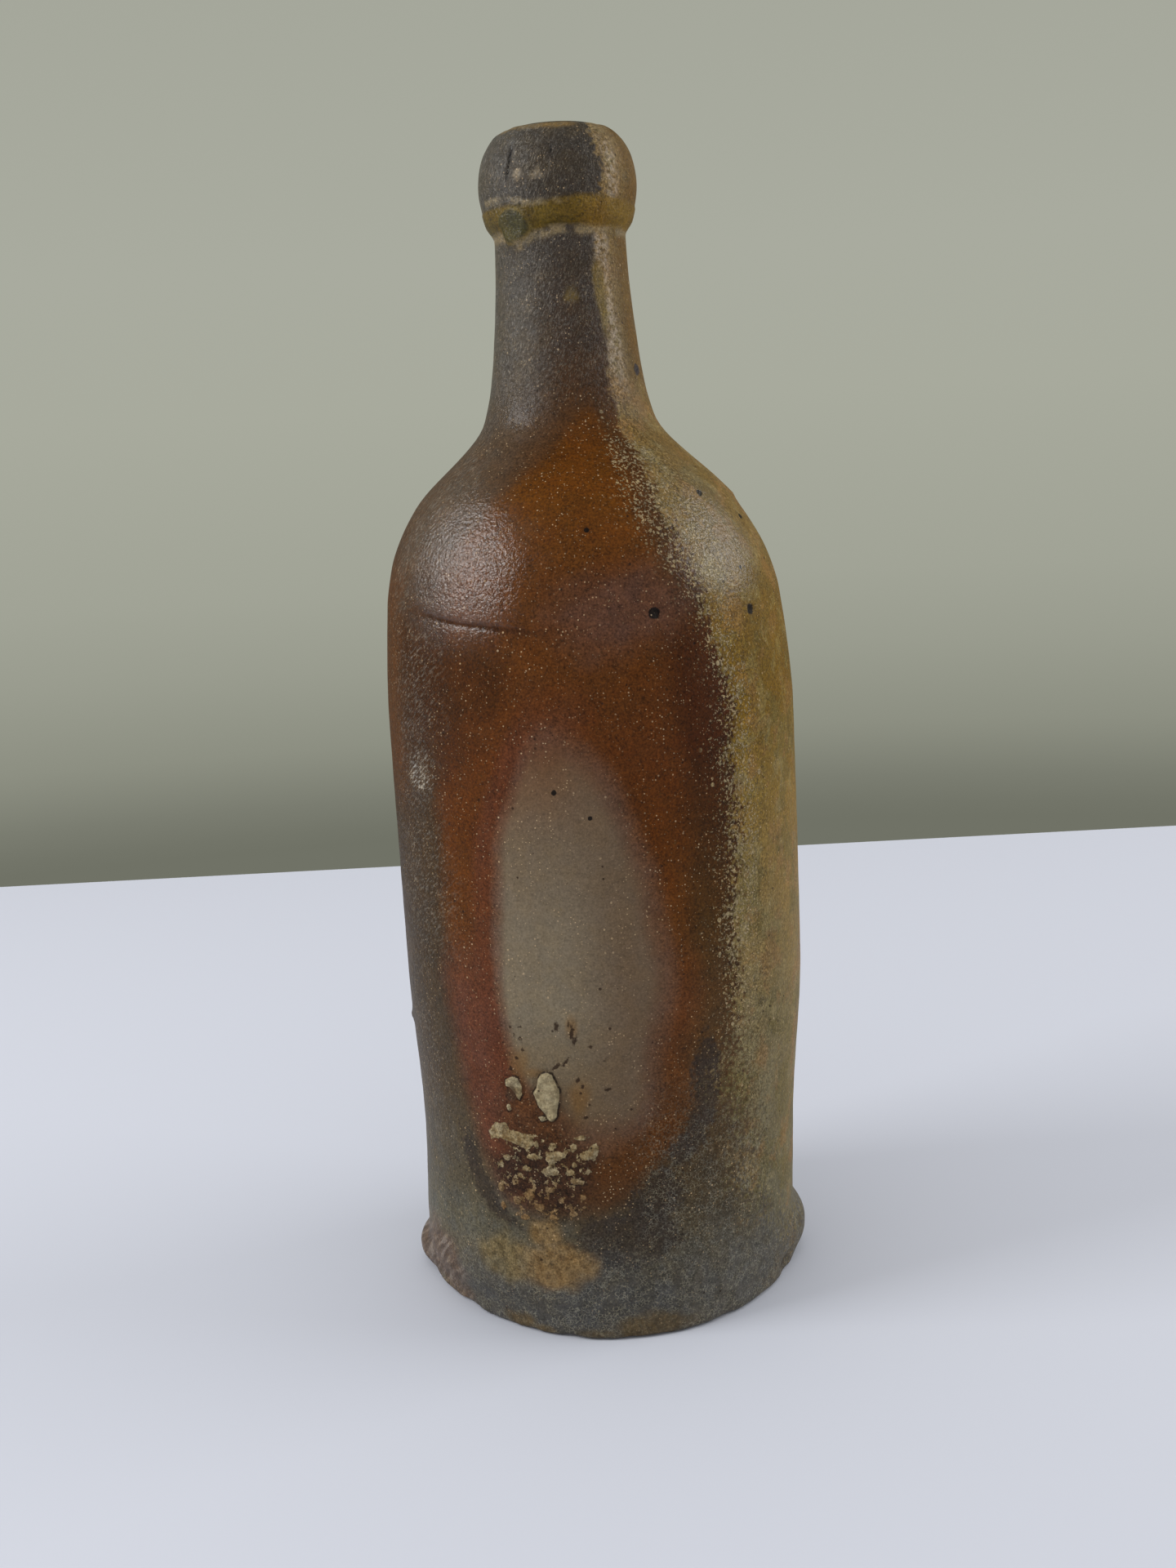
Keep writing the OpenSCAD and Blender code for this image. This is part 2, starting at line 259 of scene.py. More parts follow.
# %% Every point before the fine marks
s, z_ring = np.meshgrid(around, section[:, 1])
r_ring = np.repeat(section[:, :1], len(around), 1)
turn = s / WALL_R
on_skin, on_base = (kind == "skin")[:, None], (kind == "under")[:, None]
outer = (on_skin | on_base) & np.ones_like(s, bool)
base_swell = bulge(np.degrees(turn), 0.0) * (r_ring / (FOOT_R - FOOT_EDGE)) ** 2
swell = bulge(np.degrees(turn), z_ring) * on_skin + base_swell * on_base
lean = np.where(outer, leaning(z_ring), 0)
plain = np.stack([lean + r_ring * np.sin(turn), -r_ring * np.cos(turn), z_ring], -1)

# %% The fine marks, and every point of the skin
CHIPS = [(58.2, 2.6, 2.8, 1.9, 1.3), (-46, 1, 4, 1.6, 0.7), (-12, 0.6, 3, 1.2, 0.5), (30, 0.6, 4, 1.2, 0.5),
         (-70, 2, 3, 2, 0.6)]
fine, flake_depth, crust_depth, fold = relief(s, z_ring, plain)
pooled, split = collar_relief(s, z_ring)
small, tiny = lumps(plain, 5, 8.3), lumps(plain, 2.1, 5.6)
fine += pooled - below(z_ring, 0.5, 9) * (0.15 + 0.16 * small + 0.08 * tiny)
for at_s, at_z, wide, tall, deep in CHIPS:
    fine -= deep * np.exp(-((s - at_s) / wide) ** 2 - ((z_ring - at_z) / tall) ** 2)
fine -= soft_step(z_ring, 272, 278) * (0.12 + 0.18 * small + 0.1 * tiny)
fine = np.where(on_skin, fine, 0)

heading = np.gradient(section, axis=0)
square = np.stack([heading[:, 1], -heading[:, 0]], -1) / np.hypot(*heading.T)[:, None]
square = np.where((section[:, 1:] > COLLAR_Z) | (section[:, 1:] < 1.3), square, [1.0, 0.0])[:, None]
r_all = r_ring + swell + fine * square[..., 0]
raised = 0.25 * below(z_ring, 0, 3) * np.clip(small, 0, 1) * (r_ring > 44) * outer
z_all = z_ring + fine * square[..., 1] + raised
points = np.stack([lean + r_all * np.sin(turn), -r_all * np.cos(turn), np.clip(z_all, 0, TOP)], -1)
print("skin from", points.min((0, 1)).round(2), "to", points.max((0, 1)).round(2), "mm")

# %% [markdown]
# ## The map of the flame
# Wood ash and flame drew broad shapes on this bottle: an ash side, a rust halo, a pale oval, a slate foot.
# They are soft and many millimetres wide, so they needn't be worked out for each pixel. Each one is worked
# out at each point of the skin, from a listed border and some wander, and is stored on the mesh under its
# own name. The finish reads them by name, and only its fine grain is left to the shader. Painting them by
# hand in a texture would be quicker, but then nothing could be changed by a number.

# %% Borders and soft spots
wander, ripple, crumble = lumps(plain, 17, 2.2), lumps(plain, 4.5, 6.1), lumps(plain, 1.5, 9.4)

def border(*stations):
    """How far around a border stands at each ring, from (height, around) pairs."""
    return smooth_curve(stations)(z_ring)

def right_of(edge, softness, wobble=3.0):
    """1 to the right of a border, 0 to its left, in millimetres of softness."""
    return soft_step(s - edge + wobble * wander + 0.25 * wobble * ripple, -softness, softness)

def strip(left, right, softness=2.5):
    """1 between two borders."""
    return right_of(left, softness) * (1 - right_of(right, softness))

def oval_distance(at_s, at_z, half_s, half_z, tilt=0.0):
    """Distance from the middle of a tilted oval: 1 on its edge."""
    c, d = math.cos(math.radians(tilt)), math.sin(math.radians(tilt))
    x, y = s - at_s, z_ring - at_z
    return np.hypot((c * x + d * y) / half_s, (c * y - d * x) / half_z)

def spot(at_s, at_z, half_s, half_z, softness=0.3, wobble=0.35, tilt=0.0):
    """A soft oval with a wandering edge, 1 inside."""
    far = oval_distance(at_s, at_z, half_s, half_z, tilt) + wobble * (0.6 * wander + 0.7 * ripple)
    return below(far, 1 - softness, 1 + softness)

def to_the_right(low, high):
    """1 to the right of a soft border, and 0 again at the back."""
    return between(s, low, high, 110, 145)

def most(*masks):
    return np.max(masks, axis=0)

flame = {}

def tell(*names):
    """Prints how much of the skin each mark covers."""
    print("share of the skin:", {name: round(float((flame[name][outer] > 0.5).mean()), 3) for name in names})

# %% The ash side
ash_edge = border((0, 44), (30, 39), (50, 35), (62, 32), (75, 33), (90, 34), (110, 34.5), (140, 34),
                  (160, 32), (175, 31), (190, 28.5), (200, 28), (210, 28), (225, 29.5), (236, 28.5),
                  (246, 25), (252, 26), (261, 28.5), (269, 27), (274, 24.5), (279, 29))
ASH_END, END_SLOPE = 122, 0.35
slim = np.sqrt(WALL_R / np.clip(outline(z_ring), 12, 60))
front_reach = s - ash_edge + (4 * wander + 2.4 * ripple + 1.2 * crumble) * slim
reach = np.minimum(front_reach, (ASH_END - s + (9 * wander + 3 * ripple) * slim) * END_SLOPE)
widen = 1 + 1.8 * below(z_ring, 48, 80)
flame["ash"] = soft_step(reach, -8 * widen, 7 * widen) * (0.3 + 0.7 * soft_step(z_ring, 2, 36))
flame["dusted"] = (soft_step(reach + 9 * soft_step(z_ring, 168, 190), -12, -1) * below(reach, 3, 12)
                   * (0.2 + 0.8 * soft_step(z_ring, 45, 85)) * (1 - 0.75 * soft_step(z_ring, 204, 216)))
flame["sooted"] = between(reach, -10, 0, 1, 11) * between(z_ring, 50, 85, 190, 215)
# Pale frost along the ash border on the neck and collar. Part of it is a painted highlight.
frost_sheen_left = ash_edge - 1 + 5 * soft_step(z_ring, 258, 264)
flame["frost_and_sheen"] = (right_of(frost_sheen_left, 3) * (1 - right_of(ash_edge + 13, 4))
                  * between(z_ring, 212, 228, 272, 277))
tell("ash", "dusted", "sooted", "frost_and_sheen")

# %% The halo, the oval and the slate foot
halo_left = border((20, 0), (30, -24), (42, -31.5), (52, -35.5), (60, -38), (75, -41), (100, -40),
                   (130, -39), (150, -37), (165, -36), (180, -34), (190, -27), (200, -16), (208, -4),
                   (214, 6), (218, 14), (279, 14))
halo_right = border((20, -8), (28, -4), (36, 6), (48, 15), (60, 20), (80, 21), (120, 21), (150, 18),
                    (175, 18), (200, 18), (210, 17), (214, 15), (218, 12), (279, 10))
oval_left = border((40, -8), (52, -12), (60, -19), (70, -23), (85, -25), (105, -24.5), (120, -22),
                   (132, -18.5), (142, -14), (150, -9), (279, -8))
oval_right = border((40, -4), (47, 2), (55, 8), (70, 11), (90, 13), (105, 12), (118, 8), (130, 3), (140, -3),
                    (150, -9), (279, -10))
flame["halo"] = (strip(halo_left, halo_right, 4.5) * soft_step(z_ring, 27, 36)
                 * below(z_ring + 3 * wander + 1.5 * ripple, 213, 217))
flame["rosy"] = (right_of(oval_left - 6.5, 2.4, 1.5) * (1 - right_of(oval_left + 8, 4))
                 * between(z_ring, 50, 66, 138, 160))
flame["oval"] = (right_of(oval_left, 2.6, 1.5) * (1 - right_of(oval_right, 5.0, 1.5))
                 * between(z_ring, 42, 58, 136, 152))
flame["haze"] = spot(8, 170.5, 15, 8, 0.6, 0.4, 8)
flame["slate"] = below(z_ring + 5 * wander + 3 * ripple, 9, 25) * between(s, -60, -38, 34, 60)
flame["calm"] = most(flame["oval"], 0.7 * flame["slate"], 0.6 * soft_step(reach, 2, 10))
tell("halo", "rosy", "oval", "haze", "slate")

# %% Dark patches, crackle, gloss, and pale scratches with painted glints
halo_shadow = strip(halo_left - 8.5, halo_left - 2.5) * between(z_ring, 24, 30, 42, 56)
flame["shadow"] = most(spot(23, 62, 5, 11), spot(17, 49, 6, 8), spot(9, 36, 9, 7), spot(4, 25, 13, 7.5),
                       halo_shadow) * (1 - flame["halo"])
flame["crackle"] = most(below(z_ring, 8, 34), 0.75 * below(z_ring, 35, 72) * between(s, 2, 12, 38, 52))
# Pale scratches on the neck and the left flank. The same mask also places painted sparkle and glints of light
# there.
scratches_and_glints = most(0.68 * soft_step(z_ring, 212, 226), spot(-46, 134, 5, 6, 0.7, 0.6, -20),
                0.55 * spot(-47, 156, 10, 17, 0.6, 0.5), 0.55 * spot(-48, 108, 11, 20, 0.7, 0.5),
                0.6 * spot(-50, 192, 15, 22, 0.6, 0.5), 0.4 * spot(-58, 60, 12, 30, 0.7, 0.5))
scratches_and_glints = scratches_and_glints * (1 - 0.6 * flame["ash"])
wet_neck = 0.4 * soft_step(z_ring, 204, 222) * (1 - 0.65 * to_the_right(-27, -12))
wet = most(spot(-34, 181, 20, 22, 0.45, 0.3, 20) * soft_step(z_ring, 156, 170), wet_neck,
           0.9 * spot(37, 186, 13, 13, 0.7, 0.4), 0.12 * spot(-47, 150, 12, 22, 0.7, 0.4))
flame["wet"] = wet * np.clip(0.9 + 0.25 * ripple, 0, 1) * (1 - fold)
flame["pebble"] = most(soft_step(z_ring, 206, 224), 0.35 * scratches_and_glints)
flame["brown"] = most(spot(-41, 156, 13, 19, 0.5, 0.4, 15), 0.9 * spot(-26, 157, 9, 9, 0.6, 0.4))
tell("shadow", "crackle", "wet", "pebble", "brown")

# %% Stains of the foot, the neck and the collar
flame["stain"] = most(spot(-15.5, 18, 9.5, 5.2, 0.35, 0.5), 0.9 * spot(-27.5, 18.5, 8, 5.8, 0.4, 0.5),
                      0.9 * spot(-17.5, 26, 4.2, 3.6, 0.4, 0.5))
flame["bare"] = most(spot(-57, 9, 12, 10, 0.35, 0.5, -10), spot(-70, 7, 12, 10, 0.5, 0.6))
flame["foot_spots"] = most(spot(-26, 2.2, 5, 2.2, 0.5, 0.6), spot(-19, 1, 3, 1.5, 0.5, 0.5),
                           spot(9, 2.6, 9, 3, 0.4, 0.6), 0.7 * spot(-4, 1.5, 5, 1.2, 0.5, 0.5))
band_low = np.interp(s, [-150, -50, -44, -34, -24, -19, 0, 25, 50, 150],
                     [255.5, 255.4, 254, 252.4, 253.4, 254.6, 255.8, 255.2, 255.2, 255.5])
band_top = np.interp(s, [-150, -5, 12, 30, 60, 150], [260.8, 260.8, 261.9, 261.9, 260.8, 260.8])
edge_up = z_ring + 0.35 * ripple + 0.2 * crumble
flame["band"] = between(edge_up, band_low - 0.4, band_low + 0.5, band_top - 0.5, band_top + 0.5)
over_line = edge_up - 261.2 - 1.5 * below(s, -40, -16)
upper_line = between(over_line, -1.2, -0.6, 0, 0.6) * (1 - to_the_right(0, 12))
lower_line = between(edge_up - band_low, -2.3, -1, -0.2, 0.6)
flame["pale_line"] = most(upper_line, lower_line) * soft_step(ripple + 0.6 * crumble, -0.5, 0.1)
flame["drop"] = spot(-33, 256.2, 13.5, 3.9, 0.2, 0.1)
worn_lip = soft_step(z_ring + 0.6 * ripple + 0.4 * crumble, 277, 278.1)
flame["lip_line"] = worn_lip * between(s, -60, -50, 14, 24)
scuffs = most(spot(-12, 266.6, 7, 0.9, 0.5, 0.9, 3), spot(-24, 267, 2.8, 1, 0.4, 0.5))
flame["scuffs"] = scuffs * soft_step(crumble, -0.5, 0.1)
flame["scratches_and_glints"] = scratches_and_glints * (1 - most(flame["band"], flame["drop"]))
smooth = most(0.85 * flame["band"], 0.85 * flame["drop"], 0.6 * flame["slate"])
flame["gritty"] = (1 - smooth) * (0.65 + 0.5 * wander + 0.5 * lumps(plain, 8, 4.8))
flame["drip"] = most(spot(27, 243, 4.5, 5, 0.4, 0.4), spot(29, 237, 3, 5, 0.5, 0.4),
                     0.7 * spot(5, 240, 5, 1.2, 0.5, 0.7))
tell("stain", "bare", "band", "drop", "lip_line", "scratches_and_glints")

# %% Burnt ground, tints and flecks round the scabs
FLECKS = [(-11.8, 77.3, 0.5, 1.2), (-8.8, 78.4, 0.4, 0.7, 20), (-8.2, 76.9, 0.5, 0.35),
          (-8.5, 75.5, 0.45, 0.7, -35), (-7.8, 74.2, 0.4, 1.2, -25), (-10.2, 69, 0.4, 1.5, -40),
          (-12.1, 68.1, 0.4, 1.1, -50), (-20.9, 73.9, 0.5, 0.6), (-22.3, 74.8, 0.4, 0.6),
          (-20.4, 71.6, 0.45, 0.6), (-22.1, 69.3, 0.5, 0.45), (-4.3, 72.7, 0.5, 0.4), (-1, 69.7, 0.5, 0.35),
          (-0.6, 62.3, 0.8, 0.35), (-7.5, 64.6, 0.45, 0.55), (-23.8, 66.6, 0.35, 0.7),
          (-6.4, 63.1, 0.4, 0.5), (-5.9, 55.5, 0.4, 0.3), (-20.4, 76.8, 0.6, 0.35), (-15, 77.3, 0.4, 0.3)]
flame["fleck"] = most(*[(1 - oval_distance(*fleck)) * min(fleck[2:4]) for fleck in FLECKS])
flame["hollow"] = spot(-24.1, 60.7, 1.5, 2.3, 0.35, 0.3, -20)
flame["burnt"] = most(spot(-17, 42, 13.5, 10, 0.3, 0.4), 0.85 * spot(-18, 54, 10, 8, 0.5, 0.5))
flame["ochre"] = most(spot(-7.5, 59, 2.2, 5, 0.6, 0.6), spot(-21.5, 68, 2.5, 4, 0.6, 0.6),
                      spot(-8.3, 77.5, 1.2, 2, 0.6, 0.5), spot(-18.6, 66, 3, 1.4, 0.6, 0.5))
flame["crumbs"] = spot(-17, 40, 14.5, 12.5, 0.25, 0.4)
flame["split"] = soft_step(split + 0.25 * crumble, 0.35, 0.7)
flame["flake"], flame["crust"], flame["fold"] = flake_depth, crust_depth, fold
print("marks kept on the skin:", ", ".join(flame))

# %% Join the rings into one closed mesh
rows, cols = s.shape
i, j = np.meshgrid(np.arange(rows - 1), np.arange(cols), indexing="ij")
k = (j + 1) % cols
quads = np.stack([i * cols + j, i * cols + k, (i + 1) * cols + k, (i + 1) * cols + j], -1).reshape(-1, 4)
base_middle, floor_middle, last_ring = rows * cols, rows * cols + 1, (rows - 1) * cols
next_point = [*range(1, cols), 0]
fans = [(base_middle, after, this) for this, after in enumerate(next_point)]
fans += [(floor_middle, last_ring + this, last_ring + after) for this, after in enumerate(next_point)]
vertices = np.concatenate([points.reshape(-1, 3), [[0, 0, 0], [0, 0, FLOOR]]]) * MM
mesh = bpy.data.meshes.new("bottle_skin")
mesh.from_pydata(vertices.tolist(), [], quads.tolist() + fans)
mesh.update()
bottle = bpy.data.objects.new("bottle_skin", mesh)
bpy.context.collection.objects.link(bottle)
for name, values in flame.items():
    layer = mesh.attributes.new(name, "FLOAT", "POINT")
    layer.data.foreach_set("value", np.append(np.where(outer, values, 0).ravel(), [0, 0]).astype(np.float32))
mesh.shade_smooth()
print(sum(len(p.vertices) - 2 for p in mesh.polygons), "triangles")

# %% The texture map: the wall unrolled, with the inside and the underside beside it
GAP, WALL_WIDE, WALL_TALL = 0.006, 0.852, 0.988
INSIDE_X, INSIDE_WIDE, INSIDE_TALL = 0.87, 0.124, 0.83
DISC_X, DISC_Y, DISC_R = 0.932, 0.92, 0.06
length = np.concatenate([[0], np.cumsum(np.hypot(*np.diff(section, axis=0).T))])
strip_of = np.array([{"under": 0, "skin": 1, "mouth": 2, "inside": 2}[name] for name in kind])
wall_from, inside_from = length[np.argmax(strip_of == 1)], length[np.argmax(strip_of == 2)]

def place_on_map(ring, column, strip):
    """The place of a point on the map. The last column is the first again."""
    share = column / cols
    if strip == 1:
        up = (length[ring] - wall_from) / (inside_from - wall_from)
        return GAP + WALL_WIDE * share, GAP + WALL_TALL * up
    if strip == 2:
        down = (length[ring] - inside_from) / (length[-1] + 2 - inside_from)
        return INSIDE_X + INSIDE_WIDE * down, GAP + INSIDE_TALL * share
    reach, angle = DISC_R * section[ring][0] / FOOT_R, 2 * math.pi * share
    return DISC_X + reach * math.cos(angle), DISC_Y + reach * math.sin(angle)

uv = mesh.uv_layers.new(name="OFBake")
corners = []
for row, column in zip(i.ravel(), j.ravel()):
    for ring, side in ((row, column), (row, column + 1), (row + 1, column + 1), (row + 1, column)):
        corners.extend(place_on_map(ring, side, strip_of[row]))
for a in range(cols):
    corners.extend((DISC_X, DISC_Y) + place_on_map(0, a + 1, 0) + place_on_map(0, a, 0))
for a in range(cols):
    middle = (INSIDE_X + INSIDE_WIDE, GAP + INSIDE_TALL * (a + 0.5) / cols)
    corners.extend(middle + place_on_map(rows - 1, a, 2) + place_on_map(rows - 1, a + 1, 2))
uv.data.foreach_set("uv", np.array(corners, np.float32))
print("map corners:", len(corners) // 2, "loops:", len(mesh.loops))

# %% [markdown]
# ## A bench for node work
# Every finish here is a tall stack of small steps: measure, compare, blend. Written out call by call, each
# step takes four lines, and the idea gets lost. A small helper keeps one node tree and offers the steps by
# plain names, so that a finish reads like a list of what the potter and the fire did.

# %% Short calls for the steps of a finish
def tone(*screen):
    """A colour as it looks on a screen, 0 to 255, turned into the amounts of light that are mixed."""
    light = [c / 255 / 12.92 if c <= 10 else ((c / 255 + 0.055) / 1.055) ** 2.4 for c in screen]
    return (*light, 1.0)

class Bench:
    """One node tree in work, with the place on the bottle that its steps start from."""
    def __init__(self, tree, skin=None):
        self.tree, self.skin = tree, skin

    def add(self, kind, inputs=None, **settings):
        node = self.tree.nodes.new(kind)
        node.location = (220 * (len(self.tree.nodes) % 12), -260 * (len(self.tree.nodes) // 12))
        for name, value in settings.items():
            setattr(node, name, value)
        for name, value in (inputs or {}).items():
            self.put(node.inputs[name], value)
        return node

    def put(self, socket, value):
        """Links a socket or sets its number. Three numbers for a colour are screen values."""
        if isinstance(value, bpy.types.NodeSocket):
            self.tree.links.new(value, socket)
        elif socket.type == "RGBA" and len(value) == 3:
            socket.default_value = tone(*value)
        else:
            socket.default_value = value

    def calc(self, operation, *values):
        return self.add("ShaderNodeMath", dict(enumerate(values)), operation=operation).outputs[0]

    def vector(self, operation, *values):
        return self.add("ShaderNodeVectorMath", dict(enumerate(values)), operation=operation).outputs

    def times(self, first, *others):
        for other in others:
            first = self.calc("MULTIPLY", first, other)
        return first

    def most(self, first, *others):
        for other in others:
            first = self.calc("MAXIMUM", first, other)
        return first

    def total(self, start, *shares):
        """Adds to start each (value, amount), the value times its amount."""
        for value, amount in shares:
            start = self.calc("MULTIPLY_ADD", value, amount, start)
        return start

    def soft(self, value, low, high, start=0.0, end=1.0):
        """Goes smoothly from start to end while value goes from low to high."""
        inputs = {"Value": value, "From Min": low, "From Max": high, "To Min": start, "To Max": end}
        return self.add("ShaderNodeMapRange", inputs, interpolation_type="SMOOTHSTEP").outputs["Result"]

    def blend(self, amount, under, over, how="MIX"):
        inputs = {0: amount, 6: under, 7: over}
        return self.add("ShaderNodeMix", inputs, data_type="RGBA", blend_type=how).outputs[2]

    def scale(self, size):
        """The scale of a texture whose features have that size in millimetres."""
        return self.calc("DIVIDE", 1.0, size) if isinstance(size, bpy.types.NodeSocket) else 1 / size

    def noise(self, size, detail=2.0, roughness=0.5, where=None, output="Fac"):
        """Noise from 0 to 1 on the skin, or elsewhere."""
        inputs = {"Vector": where or self.skin, "Scale": self.scale(size), "Detail": detail,
                  "Roughness": roughness}
        return self.add("ShaderNodeTexNoise", inputs).outputs[output]

    def patches(self, size, low, high, start=0.0, end=1.0, detail=3.0, roughness=0.6):
        """Noise cut into soft patches, with start outside them and end inside."""
        return self.soft(self.noise(size, detail, roughness), low, high, start, end)

    def cells(self, size, where=None, **settings):
        inputs = {"Vector": where or self.skin, "Scale": self.scale(size)}
        return self.add("ShaderNodeTexVoronoi", inputs, **settings).outputs

    def ramp(self, value, stops):
        """Colours over a value, from (place, red, green, blue). With a fourth number they are light."""
        node = self.add("ShaderNodeValToRGB", {"Fac": value})
        elements = node.color_ramp.elements
        while len(elements) < len(stops):
            elements.new(0.5)
        for element, (place, *shade) in zip(elements, stops):
            element.position, element.color = place, tone(*shade) if len(shade) == 3 else shade
        return node.outputs["Color"]

    def group(self, tree, **inputs):
        """Places a group, on the skin if it asks for a place."""
        node = self.add("ShaderNodeGroup", node_tree=tree)
        if "Skin" in node.inputs:
            self.put(node.inputs["Skin"], self.skin)
        for name, value in inputs.items():
            self.put(node.inputs[name.replace("_", " ")], value)
        return node.outputs

def new_group(name, numbers, outputs, on_skin=True):
    """A node group on the skin with named numbers, the bench inside it, its inputs and its outputs."""
    tree = bpy.data.node_groups.new(name, "ShaderNodeTree")
    if on_skin:
        tree.interface.new_socket("Skin", in_out="INPUT", socket_type="NodeSocketVector")
    for title, default in numbers.items():
        socket = tree.interface.new_socket(title, in_out="INPUT", socket_type="NodeSocketFloat")
        socket.default_value = default
    for title in outputs:
        sort = "NodeSocketVector" if title == "Skin" else "NodeSocketFloat"
        tree.interface.new_socket(title, in_out="OUTPUT", socket_type=sort)
    bench = Bench(tree)
    given, result = bench.add("NodeGroupInput").outputs, bench.add("NodeGroupOutput").inputs
    bench.skin = given["Skin"] if on_skin else None
    return tree, bench, given, result

# %% [markdown]
# ## Finding a place on the bottle
# A painter would say "low on the wall, at the back". The shader needs the same: how far up, and the place
# in millimetres for its grain. Both come from the point in space, so they have no seam, as a flat texture
# would.

# %% The group that gives height and place, in millimetres
place_group, bench, given, result = new_group("Place on the bottle", {}, ["Around", "Up", "Skin"], False)
here = bench.add("ShaderNodeTexCoord").outputs["Object"]
skin = bench.vector("MULTIPLY", here, (1 / MM, 1 / MM, 1 / MM))["Vector"]
x, y, up = bench.add("ShaderNodeSeparateXYZ", {0: skin}).outputs
bench.put(result["Around"], bench.times(bench.calc("ARCTAN2", x, bench.times(y, -1.0)), WALL_R))
bench.put(result["Up"], up)
bench.put(result["Skin"], skin)

# %% [markdown]
# ## Grains, grit and crackle
# Sand in the clay melts out as pale dots, iron bursts as dark ones, and the ash edge breaks up into grains.
# Each is a question of size and share, not of place, so each is a group with those inputs. Cells of a
# Voronoi texture give one dot each, and the random colour of the cell decides whether it is there at all
# and how big it is.

# %% The groups for dots, for a grainy border, and for crackle
dots_group, bench, given, result = new_group("Dots", {"Cell": 1.5, "Share": 0.3, "Radius": 0.2}, ["Mask"])
cells = bench.cells(given["Cell"])
luck = bench.add("ShaderNodeSeparateColor", {0: cells["Color"]}).outputs
radius = bench.times(given["Radius"], bench.total(0.6, (bench.times(luck[1], luck[1]), 1.2)))
dot = bench.soft(bench.calc("DIVIDE", cells["Distance"], radius), 0.85, 1.1, 1.0, 0.0)
bench.put(result["Mask"], bench.times(dot, bench.calc("LESS_THAN", luck[0], given["Share"])))

grainy_group, bench, given, result = new_group(
    "Grainy border", {"Amount": 0.5, "Grain": 0.9, "Crispness": 0.1}, ["Mask"])
grain = bench.noise(given["Grain"], 3.0, 0.6)
level = bench.calc("SUBTRACT", given["Amount"], bench.total(-0.45, (grain, 1.9)))
bench.put(result["Mask"], bench.soft(level, bench.times(given["Crispness"], -1.0), given["Crispness"]))

crackle_group, bench, given, result = new_group("Crackle", {"Cell": 1.6, "Width": 0.05}, ["Line"])
bent = bench.vector("ADD", bench.skin, bench.noise(1.25, output="Color"))["Vector"]
net = bench.cells(given["Cell"], bent, feature="DISTANCE_TO_EDGE")["Distance"]
bench.put(result["Line"], bench.soft(net, 0.0, given["Width"], 1.0, 0.0))

# %% [markdown]
# ## Relief too fine for the mesh
# Wet fingers leave lines a fraction of a millimetre apart, and a salt or ash glaze gathers into the skin of
# an orange. Both are too fine for points, so they are heights in millimetres for a bump. Lines come from
# noise that is squeezed along the axis, because real ones fade and start again as the hand moves.

# %% The group for throwing lines and orange peel
touch_group, bench, given, result = new_group(
    "Touch of the hand", {"Lines": 0.02, "Peel": 0.04, "Peel size": 1.3}, ["Height"])
squeezed = bench.vector("MULTIPLY", bench.skin, (0.03, 0.03, 1.0))["Vector"]
lines = bench.noise(10 / 9, 3.0, 0.6, squeezed)
peel = bench.noise(given["Peel size"], 2.5, 0.55)
bench.put(result["Height"], bench.total(bench.times(peel, given["Peel"]), (lines, given["Lines"])))
print("groups:", [g.name for g in bpy.data.node_groups])

# %% [markdown]
# ## The fired skin: the ground colours
# The flame came from the right. It left ash there, from the lip to the foot, and the left flank stayed
# grey-brown. Between them runs a darker, redder rim. Each of these grounds is a ramp of colours over the
# height.

# %% Starting and ending a material
def start_material(name):
    """A new material, and a bench for it that knows the places on the bottle."""
    material = bpy.data.materials.new(name)
    material.use_nodes = True
    material.node_tree.nodes.clear()
    bench = Bench(material.node_tree)
    bench.around, bench.up, bench.skin = bench.group(place_group)
    return material, bench

def end_material(colour, roughness, height, **coat):
    """Puts a finish into its shader, with a glossy coat if one is given. The height is in millimetres."""
    bumped = bench.add("ShaderNodeBump", {"Height": height, "Strength": 1.0, "Distance": MM}).outputs[0]
    inputs = {"Base Color": colour, "Roughness": roughness, "Normal": bumped}
    if coat:
        inputs["Coat Normal"] = bumped
    inputs.update({name.replace("_", " "): value for name, value in coat.items()})
    shader = bench.add("ShaderNodeBsdfPrincipled", inputs)
    bench.put(bench.add("ShaderNodeOutputMaterial").inputs["Surface"], shader.outputs[0])

def dots(cell, share, radius):
    """Scattered dots: at most one to a cell, and the radius is a part of the cell."""
    return bench.group(dots_group, Cell=cell, Share=share, Radius=radius)["Mask"]

def grainy(amount, grain, crispness):
    """An amount broken up into grains."""
    return bench.group(grainy_group, Amount=amount, Grain=grain, Crispness=crispness)["Mask"]

def touch(lines, peel, peel_size):
    return bench.group(touch_group, Lines=lines, Peel=peel, Peel_size=peel_size)["Height"]

# %% Start the material of the fired skin
fired, bench = start_material("fired_skin")
RAMP_TOP = 280.0
share_up = bench.calc("DIVIDE", bench.up, RAMP_TOP)

def mark(name):
    """A mark of the flame, read from the skin by its name."""
    return bench.add("ShaderNodeAttribute", attribute_name=name).outputs["Fac"]

def rightward(low, high, start=0.0, end=1.0):
    """Goes smoothly from start to end between two places around."""
    return bench.soft(bench.around, low, high, start, end)

def upward(low, high, start=0.0, end=1.0):
    """The same between two heights."""
    return bench.soft(bench.up, low, high, start, end)

def by_height(*stops):
    """Colours over the height, from (height in millimetres, red, green, blue)."""
    return bench.ramp(share_up, [(height / RAMP_TOP, *screen) for height, *screen in stops])

def lay(mask, over, strength=1.0):
    """Lays a colour over the skin so far, where the mask is 1."""
    global colour
    colour = bench.blend(mask if strength == 1.0 else bench.times(mask, strength), colour, over)

def tell_nodes(finished):
    print(finished, "done, nodes so far:", len(fired.node_tree.nodes))

